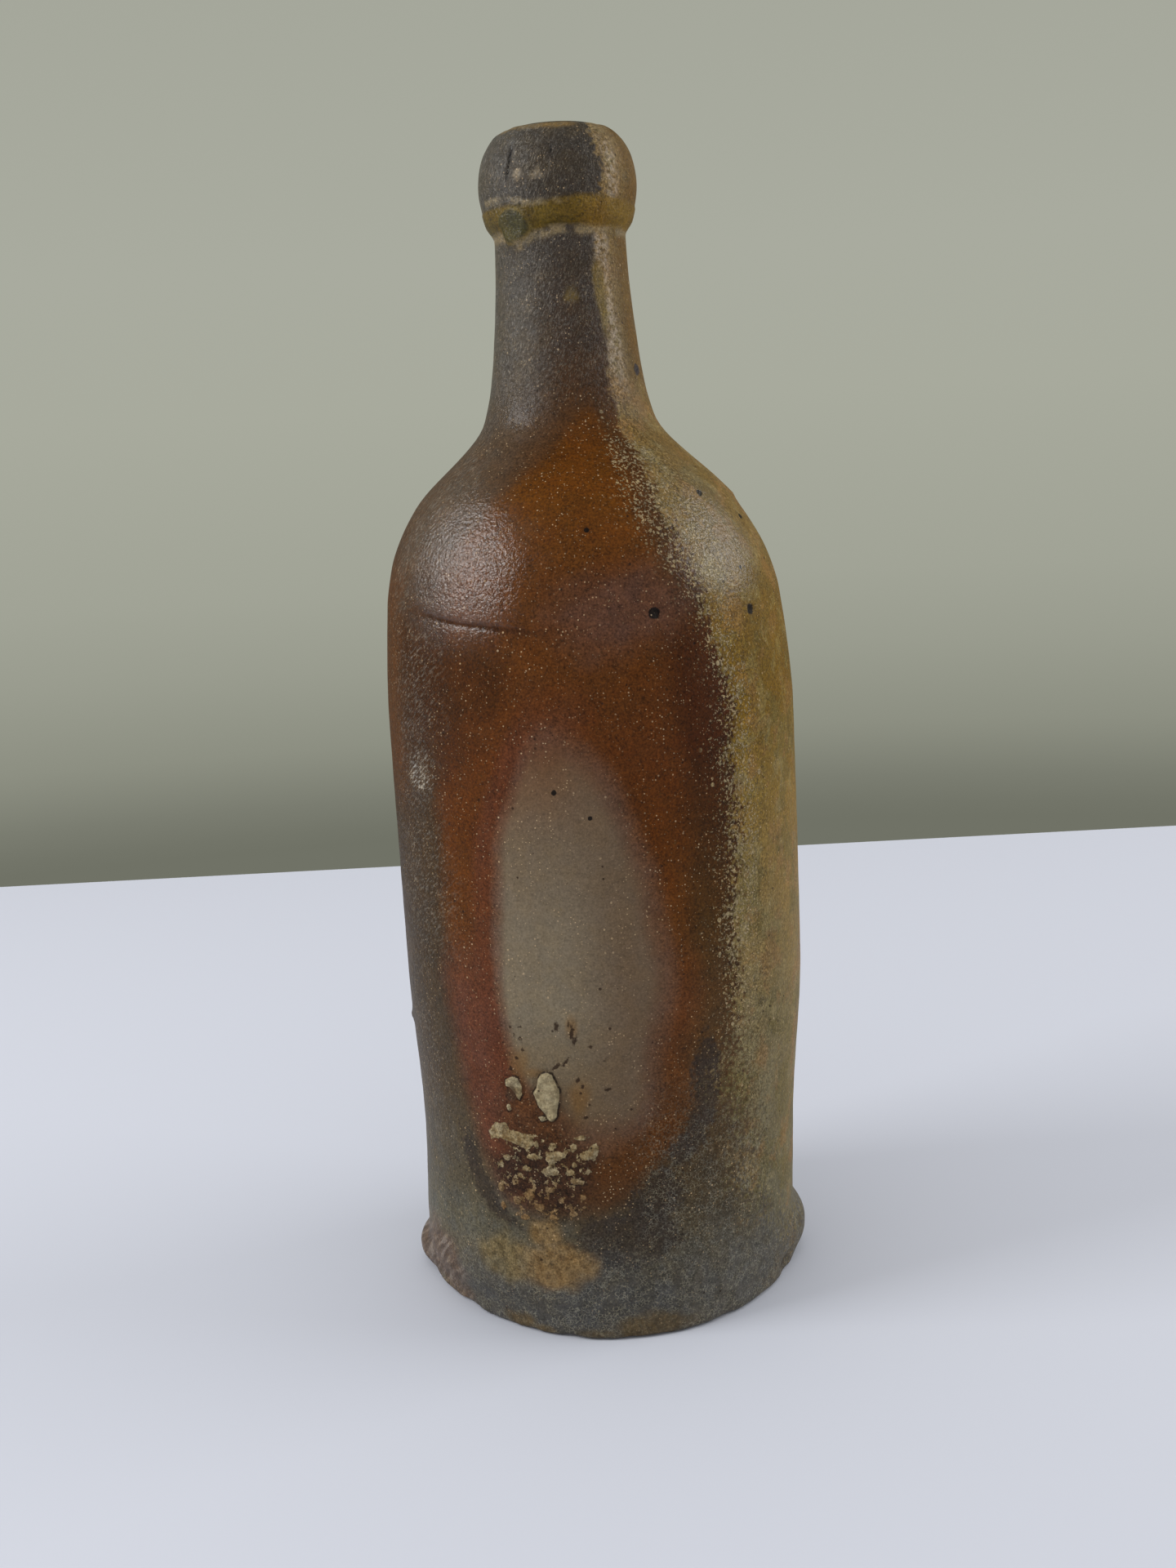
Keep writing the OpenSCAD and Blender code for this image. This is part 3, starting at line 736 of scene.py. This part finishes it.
def mottled(size, dark, light, crisp=0.15):
    """Two colours in patches of that size in millimetres."""
    return bench.blend(bench.patches(size, 0.5 - crisp, 0.5 + crisp), dark, light)

def turning(mask, size, first, second):
    """One mottled ground that turns into another, each given as (dark, light)."""
    return bench.blend(mask, mottled(size, *first), mottled(size, *second))

# %% The left flank and the dark rim
flank = by_height((0, 90, 80, 66), (14, 88, 80, 66), (24, 82, 78, 65), (36, 75, 68, 54), (60, 66, 53, 37),
                  (80, 61, 48, 32), (100, 57, 42, 24), (120, 59, 41, 20), (142, 58, 37, 16),
                  (162, 64, 36, 14), (178, 68, 44, 26), (195, 72, 51, 32), (206, 71, 55, 40),
                  (216, 69, 58, 47), (232, 66, 58, 47), (248, 62, 55, 46), (279, 60, 54, 46))
rim = by_height((0, 76, 70, 61), (20, 72, 66, 54), (32, 65, 55, 40), (46, 64, 50, 32), (62, 70, 50, 28),
                (82, 71, 49, 25), (100, 66, 43, 15), (120, 62, 35, 9), (142, 59, 28, 6), (162, 62, 31, 7),
                (180, 70, 43, 16), (196, 68, 40, 12), (208, 68, 40, 12), (217, 66, 42, 21),
                (230, 56, 41, 29), (246, 54, 44, 35), (279, 55, 48, 39))
wandering = bench.total(bench.around, (bench.noise(26, 3), 24.0))
colour = bench.blend(bench.times(bench.soft(wandering, -24, 12), rightward(150, 118)), flank, rim)
far_left = bench.times(rightward(-48, -58), rightward(-120, -80), upward(118, 140), upward(186, 172))
lay(far_left, (78, 44, 12), 0.9)
tell_nodes("flank and rim")

# %% The warm halo and the pale oval inside it
warm = by_height((28, 64, 44, 28), (45, 80, 47, 18), (60, 81, 48, 20), (80, 86, 49, 22), (100, 85, 47, 12),
                 (120, 82, 43, 8), (140, 80, 42, 12), (160, 82, 45, 12), (176, 82, 45, 12), (195, 84, 46, 2),
                 (205, 78, 42, 3), (212, 78, 43, 5))
warm = bench.blend(bench.times(rightward(-12, -30), upward(104, 78), 0.8), warm, (87, 51, 37))
lay(mark("halo"), warm)
lay(bench.times(mark("rosy"), mark("halo")), (84, 46, 29), 0.65)
pale = by_height((55, 92, 76, 56), (66, 102, 88, 68), (80, 112, 101, 83), (100, 111, 99, 81),
                 (120, 102, 87, 69), (140, 95, 66, 44))
in_oval = mark("oval")
lay(in_oval, bench.blend(rightward(-10, 8), pale, (97, 80, 62)))
lay(bench.times(in_oval, bench.calc("SUBTRACT", 1.0, in_oval), 2.0), (88, 60, 47), 0.75)
lay(mark("haze"), (82, 55, 42), 0.85)
lay(mark("brown"), (56, 29, 4), 0.8)
tell_nodes("halo and oval")

# %% [markdown]
# ## The ash side
# Melted ash is the loudest finish of a wood kiln: sandy ochre, mottled with green where it ran thick, and
# grainy where it only dusted the wall. Its border isn't a line but a crowd of grains that thins out towards
# the dark rim. So the amount of ash is compared with a fine grain, and cream dots of two sizes are
# scattered in front of it. On the neck a pale band lies along the border: partly frost, partly a painted
# highlight.

# %% Soot, and the colours of the ash
lay(grainy(bench.times(mark("sooted"), 0.55), 1.1, 0.12), (46, 28, 12), 0.8)
lay(grainy(bench.times(mark("shadow"), 0.95), 1.2, 0.3), (49, 41, 35), 0.8)
ash = by_height((0, 88, 80, 60), (25, 93, 87, 66), (50, 102, 92, 66), (75, 106, 93, 62), (100, 113, 94, 54),
                (125, 111, 89, 38), (150, 100, 77, 20), (170, 101, 79, 32), (190, 105, 86, 46),
                (210, 102, 81, 42), (225, 106, 88, 58), (245, 107, 88, 56), (258, 104, 79, 26),
                (266, 118, 96, 58), (279, 114, 96, 64))
green = bench.times(bench.patches(13, 0.49, 0.58, 0.0, 0.6, 4, 0.65), upward(180, 150, 0.35, 1.0))
ash = bench.blend(green, ash, (90, 80, 44))
ash = bench.blend(bench.patches(9.1, 0.51, 0.6, 0.0, 0.5, 4, 0.65), ash, (118, 90, 56))
ash = bench.blend(bench.patches(5.3, 0.53, 0.63, 0.0, 0.5, 4, 0.7), ash, (122, 107, 70))
ash = bench.blend(bench.times(rightward(40, 54), upward(212, 226), 0.78), ash, (86, 61, 14))
ash = bench.blend(bench.times(upward(128, 146), upward(186, 168)), ash, (0.97, 0.93, 0.68, 1), "MULTIPLY")
grit = bench.patches(0.7, 0.4, 0.62, roughness=0.65)
gritty = bench.blend(grit, (0.66, 0.62, 0.53, 1), (1.33, 1.36, 1.45, 1))
ash = bench.blend(rightward(36, 50, 1.0, 0.4), ash, gritty, "MULTIPLY")
ash = bench.blend(bench.times(rightward(46, 60), rightward(105, 75)), ash, (1.22, 1.15, 0.92, 1), "MULTIPLY")

# %% The grainy border, the dots in front of it, and the frost with its painted highlight
in_ash = grainy(mark("ash"), 1.0, 0.2)
lay(in_ash, ash)
dusted = mark("dusted")
cream = bench.most(grainy(bench.times(dusted, 0.4), 0.7, 0.07), bench.times(dots(1.1, 0.45, 0.2), dusted),
                   bench.times(dots(2.3, 0.34, 0.17), bench.soft(dusted, 0.1, 0.45)))
lay(cream, (142, 126, 94), 0.8)
# Paints the pale frost, which also stands in for a highlight on the neck and collar.
lay(bench.times(mark("frost_and_sheen"), bench.patches(1.3, 0.42, 0.6, detail=4, roughness=0.7)), (152, 137, 117), 0.7)
tell_nodes("ash")

# %% [markdown]
# ## The foot, the groove and the collar
# Low on the wall the glaze is thin and blue-grey, with a net of pale crackle. An ochre stain sits over it,
# and the left of the foot is bare pinkish clay. Up in the groove, olive glaze has pooled and hangs in a
# drop.

# %% The slate band and the ochre stain
slate = turning(rightward(5, 28), 2.2, ((59, 58, 56), (70, 69, 67)), ((67, 65, 60), (82, 79, 74)))
lay(mark("slate"), slate, 0.85)
net = bench.group(crackle_group, Cell=0.75, Width=0.13)["Line"]
broken = bench.patches(0.9, 0.38, 0.52, detail=2)
lay(bench.times(net, broken, mark("crackle"), bench.patches(2.6, 0.36, 0.5)), (128, 124, 108), 0.65)
stain = turning(rightward(-27, -18), 1.6, ((92, 78, 48), (112, 98, 68)), ((107, 82, 48), (126, 101, 64)))
lay(mark("stain"), stain, 0.82)

# %% The bare clay of the foot, with slanting strokes
along = bench.total(bench.times(bench.around, 0.8), (bench.up, 0.6))
across = bench.total(bench.times(bench.around, -0.6), (bench.up, 0.8))

def strokes(size, thin, lift, roughness):
    """Noise drawn out into strokes that slant up to the right."""
    sides = {0: bench.times(along, thin), 1: across, 2: bench.times(bench.up, lift)}
    return bench.noise(size, 3, roughness, bench.add("ShaderNodeCombineXYZ", sides).outputs[0])

bare = bench.ramp(strokes(1.3, 0.14, 0.0, 0.6), [(0.36, 68, 51, 38), (0.5, 90, 72, 60), (0.64, 122, 108, 95)])
lay(mark("bare"), bare, 0.85)
lay(mark("foot_spots"), mottled(1.2, (74, 60, 36), (94, 76, 46)), 0.65)
tell_nodes("foot")

# %% The olive groove, the hanging drop and the worn collar
drop = mark("drop")
olive = turning(bench.times(rightward(0, 26), rightward(150, 118)), 6.0, ((78, 62, 14), (97, 76, 22)),
                ((102, 76, 17), (112, 86, 26)))
lay(bench.most(mark("band"), drop), olive)
lay(drop, mottled(3.0, (54, 51, 22), (66, 61, 28)), 0.85)
lay(bench.times(bench.soft(drop, 0.05, 0.4), bench.soft(drop, 0.95, 0.6)), (108, 88, 38), 0.55)
lay(mark("drip"), (102, 83, 38), 0.9)
lay(mark("pale_line"), (126, 110, 80), 0.8)
lay(mark("lip_line"), (110, 86, 44), 0.75)
lay(mark("scuffs"), (130, 116, 94), 0.85)
tell_nodes("groove and collar")

# %% [markdown]
# ## Scabs, flecks and pits
# Pieces of the kiln shelf fused to the wall and broke off. What is left are cream flakes with dark cracks
# round them, whose dark paint is partly the shade in the gap, and lower down a field of crusts on burnt clay.
# Their depths are stored on the skin, so paint and relief share one outline, and a little noise at the edge
# keeps them crisp between the points.

# %% Burnt ground, crusts and flakes
ragged = bench.calc("SUBTRACT", bench.noise(1.1, 4, 0.65), 0.5)

def torn(depth, raggedness):
    """A depth whose edge is torn by noise."""
    return bench.total(depth, (ragged, raggedness))

burnt = turning(upward(46, 54), 2.0, ((38, 26, 19), (59, 39, 26)), ((64, 40, 22), (86, 55, 32)))
lay(mark("burnt"), burnt, 0.9)
lay(mark("ochre"), (108, 76, 34), 0.5)
crumbs = bench.soft(bench.total(bench.noise(1.7, 3, 0.65), (mark("crumbs"), 0.16)), 0.725, 0.755)
in_crust = bench.most(bench.soft(torn(mark("crust"), 1.4), -0.06, 0.1), bench.times(crumbs, mark("crumbs")))
crust = turning(upward(43, 35), 1.3, ((102, 84, 56), (142, 128, 98)), ((96, 73, 47), (124, 101, 70)))
lay(in_crust, crust, 0.95)
flake_at = torn(mark("flake"), 0.4)
crack_and_shade = bench.times(bench.soft(flake_at, -0.55, -0.2), bench.soft(flake_at, 0.12, -0.05),
                    bench.patches(2.5, 0.42, 0.52, 0.35, 1.0, 2, 0.5))
# The dark gap round each flake: a crack, painted dark also as the shade inside it.
lay(crack_and_shade, (36, 26, 18), 0.9)
in_flake = bench.soft(flake_at, -0.05, 0.12)
lay(in_flake, mottled(1.4, (116, 103, 78), (154, 141, 110), 0.2))
lay(mark("hollow"), (66, 49, 35), 0.8)

# %% Dark flecks, spots of iron, splits, and painted shade in the crease
IRON_SPOTS = [(17.1, 169.5, 1.5, 1.3), (45.3, 168, 1.5, 1.3), (42.8, 194.5, 1.3, 0.7), (59, 188.5, 1.2, 0.6),
              (-7.7, 131.5, 0.6, 0.6), (3, 188, 0.7, 0.5), (0, 125.5, 0.5, 0.5), (44.7, 177.5, 0.6, 0.5)]

def iron_spot(at_around, at_up, half_around, half_up):
    """A small torn oval."""
    sides = (bench.around, at_around, half_around), (bench.up, at_up, half_up)
    squares = [bench.calc("POWER", bench.calc("DIVIDE", bench.calc("SUBTRACT", place, middle), half), 2.0)
               for place, middle, half in sides]
    return bench.soft(torn(bench.calc("ADD", *squares), 1.6), 0.7, 1.3, 1.0, 0.0)

lay(bench.soft(torn(mark("fleck"), 1.3), -0.2, 0.1), (42, 28, 18), 0.88)
lay(bench.most(*[iron_spot(*place) for place in IRON_SPOTS]), (20, 16, 14), 0.95)
lay(mark("split"), (24, 20, 18), 0.9)
# Painted shade in the crease on the left shoulder, strongest towards its right end.
lay(bench.times(mark("fold"), rightward(-46, -28, 0.3, 1.0)), (40, 22, 12), 0.65)
lay(iron_spot(56, 223.5, 4.0, 1.4), (38, 38, 46), 0.85)
tell_nodes("scabs and spots")

# %% [markdown]
# ## Grit over everything, and the shine
# Pale grit shows all over the front, finer and denser on the brown than on the oval, with dark iron pits
# between, and pale scratches and glints slant across the neck and the left flank; the glints and sparkle are
# painted highlights. The shine follows the fire too: the left shoulder and the neck are glossy and pebbled,
# the ash is drier, and the scabs don't shine at all.
# Roughness and relief are built from the same masks as the colours.

# %% Grit, pits, pale scratches, and painted sparkle and glints
pale_grit = bench.times(bench.most(dots(0.7, 0.58, 0.16), dots(1.7, 0.2, 0.1)), mark("gritty"))
iron_pits = dots(1.9, 0.2, 0.11)
lay(pale_grit, (188, 162, 126), 0.62)
lay(iron_pits, (40, 25, 15), 0.75)
scratch_glint_mask = mark("scratches_and_glints")
specks_and_sparkle = grainy(bench.times(scratch_glint_mask, 0.42), 0.5, 0.08)
painted_glints = bench.soft(strokes(0.55, 0.3, 0.3, 0.65), 0.5, 0.66)
painted_glints = bench.times(painted_glints, scratch_glint_mask, rightward(6, -22, 0.55, 1.0))
# Pale specks and scratches, with painted highlights: sparkle and glints where the glaze catches the light.
lay(bench.most(bench.times(specks_and_sparkle, 0.7), painted_glints), (140, 132, 118), 0.6)
# A brighter painted highlight where the glints are thickest.
lay(bench.times(painted_glints, bench.soft(scratch_glint_mask, 0.72, 0.95)), (186, 180, 168), 0.45)

# %% Grain in the colour, calmer on the oval, the slate and the ash
tint = bench.blend(bench.patches(5.3, 0.38, 0.62), (1.04, 1.0, 0.91, 1), (0.97, 1.0, 1.06, 1))
colour = bench.blend(bench.soft(mark("calm"), 0.2, 1.0, 1.0, 0.4), colour, tint, "MULTIPLY")
shade = bench.total(-0.35, (bench.noise(0.5, 2, 0.6), 1.1), (bench.noise(1.6, 2, 0.6), 0.35),
                    (bench.noise(7.0, 2, 0.5), 0.25))
grey = bench.blend(shade, (0, 0, 0), (255, 255, 255))
colour = bench.blend(bench.soft(mark("calm"), 0.2, 1.0, 1.0, 0.45), colour, grey, "OVERLAY")
tell_nodes("grain")

# %% Shine and relief, then the shader
wet_glaze = mark("wet")
in_scab = bench.most(in_flake, in_crust)
rough = bench.total(0.38, (bench.noise(2.2, 3, 0.6), 0.14), (in_ash, 0.06), (in_scab, 0.3), (drop, -0.12))
pebbles = bench.total(0.05, (mark("pebble"), 0.6))
height = bench.total(touch(0.05, 0.2, 1.15), (bench.noise(1.0, 3, 0.65), pebbles),
                     (bench.noise(0.8, 3, 0.6), bench.times(wet_glaze, 0.36)), (pale_grit, 0.05),
                     (bench.times(grit, in_ash), 0.03), (cream, 0.1), (iron_pits, -0.14), (in_crust, 0.16))
end_material(colour, rough, height, Specular_IOR_Level=0.09, Coat_Weight=wet_glaze, Coat_Roughness=0.13,
             Coat_IOR=1.68)
tell_nodes("fired skin")

# %% [markdown]
# ## The inside and the underside
# No flame reached the inside, so it is plain clay with throwing rings, in an even dark brown that is partly
# the clay's colour and partly painted shade for the little light inside. The underside was cut off the wheel
# with a wire and stood on the shelf: bare clay, grey-brown and matt, with the arcs of the wire.

# %% The inside
inner, bench = start_material("inside_clay")
# The clay's brown, darkened as painted shade for the dim inside.
clay = bench.blend(bench.noise(12, 3), (66, 44, 30), (92, 64, 44))
clay = bench.blend(bench.times(dots(2.2, 0.4, 0.2), 0.5), clay, (124, 106, 86))
end_material(clay, bench.patches(5, 0.3, 0.7, 0.42, 0.6, 2, 0.5), touch(0.5, 0.1, 1.6))

# %% The underside
raw, bench = start_material("raw_underside")
WIRE_CENTRE = (-58, 22, 0)
sweep = bench.vector("DISTANCE", bench.skin, WIRE_CENTRE)["Value"]
wire = bench.calc("SINE", bench.total(bench.times(sweep, 1.9), (bench.noise(14, 3), 3.0)))
clay = bench.blend(bench.noise(9, 4, 0.6), (92, 78, 66), (124, 106, 88))
clay = bench.blend(bench.times(dots(1.6, 0.4, 0.26), 0.6), clay, (70, 52, 40))
relief_height = bench.total(touch(0.0, 0.2, 1.1), (wire, 0.07))
end_material(clay, bench.patches(4, 0.3, 0.7, 0.68, 0.85, 2, 0.5), relief_height)

# %% Give each face its material, and hand the piece over
for material in (fired, inner, raw):
    mesh.materials.append(material)
slots = np.where(kind == "under", 2, np.where(kind == "inside", 1, 0))
face_slot = np.concatenate([np.repeat(slots[:-1], cols), np.full(cols, 2), np.full(cols, 1)])
mesh.polygons.foreach_set("material_index", face_slot.astype(np.int32))
mesh.update()
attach(bottle, "root")
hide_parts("bottle")
print("faces of the skin, the inside and the underside:", np.bincount(face_slot).tolist())

# %% [markdown]
# ## The table, the room and the light
# The bottle stands on a plain white table in a pale grey-green room. The room could be a modelled wall, but
# then it would hide the bottle from behind, so it is the colour that the world shows to the camera and in
# reflections. Two windows give the shine on the shoulder and the neck: a small bright one at the left, and
# a broader one at the right. A faint ceiling lifts the shadows.

# %% The table
SIDE, BACK = 1.6, 0.47
table_mesh = bpy.data.meshes.new("table")
table_corners = [(-SIDE, -SIDE, 0), (SIDE, -SIDE, 0), (SIDE, BACK, 0), (-SIDE, BACK, 0)]
table_mesh.from_pydata(table_corners, [], [(0, 1, 2, 3)])
table = bpy.data.objects.new("table", table_mesh)
bpy.context.collection.objects.link(table)
cloth = bpy.data.materials.new("table_white")
cloth.use_nodes = True
for name, value in (("Base Color", tone(187, 190, 199)), ("Roughness", 0.9), ("Specular IOR Level", 0.2)):
    cloth.node_tree.nodes["Principled BSDF"].inputs[name].default_value = value
table_mesh.materials.append(cloth)

# %% The room: one colour for the light, another for what is seen
room = bpy.data.worlds.new("room")
bpy.context.scene.world = room
room.use_nodes = True
room.node_tree.nodes.clear()
bench = Bench(room.node_tree)
view = bench.add("ShaderNodeSeparateXYZ", {0: bench.add("ShaderNodeTexCoord").outputs["Generated"]}).outputs
seen = bench.ramp(bench.total(0.5, (view["Z"], 0.5)), [
    (0.4, 112, 114, 102), (0.41, 122, 124, 112), (0.425, 140, 142, 129), (0.448, 153, 155, 142),
    (0.47, 161, 163, 150), (0.52, 168, 170, 157), (0.56, 169, 171, 159), (0.63, 165, 167, 155)])
dim = bench.ramp(bench.total(0.5, (view["Y"], 0.5)), [
    (0.3, 0.2, 0.2, 0.19, 1), (0.75, 0.48, 0.48, 0.46, 1), (1.0, 0.7, 0.7, 0.68, 1)])
paths = bench.add("ShaderNodeLightPath").outputs
looked_at = bench.most(*[paths[way] for way in ("Is Camera Ray", "Is Glossy Ray", "Is Transmission Ray")])
seen = bench.blend(paths["Is Glossy Ray"], seen, dim, "MULTIPLY")
sky = bench.add("ShaderNodeBackground", {"Color": bench.blend(looked_at, (0.85, 0.85, 0.85, 1), seen)})
bench.put(bench.add("ShaderNodeOutputWorld").inputs["Surface"], sky.outputs[0])

# %% Two windows and the ceiling
AIM_HEIGHT = 0.14

def window(name, azimuth, elevation, distance, width, height, power):
    """A broad soft light, turned to the bottle. Azimuth counts from the front to the right, in degrees."""
    a, e = math.radians(azimuth), math.radians(elevation)
    way = Vector((math.sin(a) * math.cos(e), -math.cos(a) * math.cos(e), math.sin(e)))
    lamp = bpy.data.lights.new(name, "AREA")
    lamp.shape, lamp.size, lamp.size_y, lamp.energy = "RECTANGLE", width, height, power
    shell = bpy.data.objects.new(name, lamp)
    bpy.context.collection.objects.link(shell)
    shell.location = way * distance + Vector((0, 0, AIM_HEIGHT))
    shell.rotation_euler = way.to_track_quat("Z", "Y").to_euler()

window("window_left", -75, 31, 1.3, 0.54, 0.48, 9.3)
window("window_right", 94, 24, 1.5, 1.1, 0.6, 9)
window("ceiling", -20, 68, 1.6, 1.6, 1.2, 2)

# %% [markdown]
# ## The camera
# The photo was taken from close by, with the camera a little above the shoulder, tipped down and rolled by
# three degrees. Matching it by eye would take long, because a close view bends every ellipse. The outline
# of the bottle fixes it instead, and the numbers below are that solution.

# %% Place the camera
YAW, PITCH, ROLL = math.radians(-0.155), math.radians(10.281), math.radians(3.027)
CAMERA_AT = (0.00093, -0.41958, 0.20036)
FRAME_HEIGHT, FOCAL_PIXELS, SENSOR = 1920, 2100, 36.0
forward = Vector((math.sin(YAW) * math.cos(PITCH), math.cos(YAW) * math.cos(PITCH), -math.sin(PITCH)))
right = Vector((math.cos(YAW), -math.sin(YAW), 0))
level_up = right.cross(forward)
side = right * math.cos(ROLL) - level_up * math.sin(ROLL)
top = right * math.sin(ROLL) + level_up * math.cos(ROLL)
camera_data = bpy.data.cameras.new("camera")
camera_data.sensor_width, camera_data.lens = SENSOR, FOCAL_PIXELS / FRAME_HEIGHT * SENSOR
camera_data.clip_start = 0.01
camera = bpy.data.objects.new("camera", camera_data)
bpy.context.collection.objects.link(camera)
camera.matrix_world = Matrix.Translation(CAMERA_AT) @ Matrix((side, top, -forward)).transposed().to_4x4()
bpy.context.scene.camera = camera
bpy.context.scene.view_settings.view_transform = "Standard"
print("camera at", [round(v, 3) for v in camera.location])
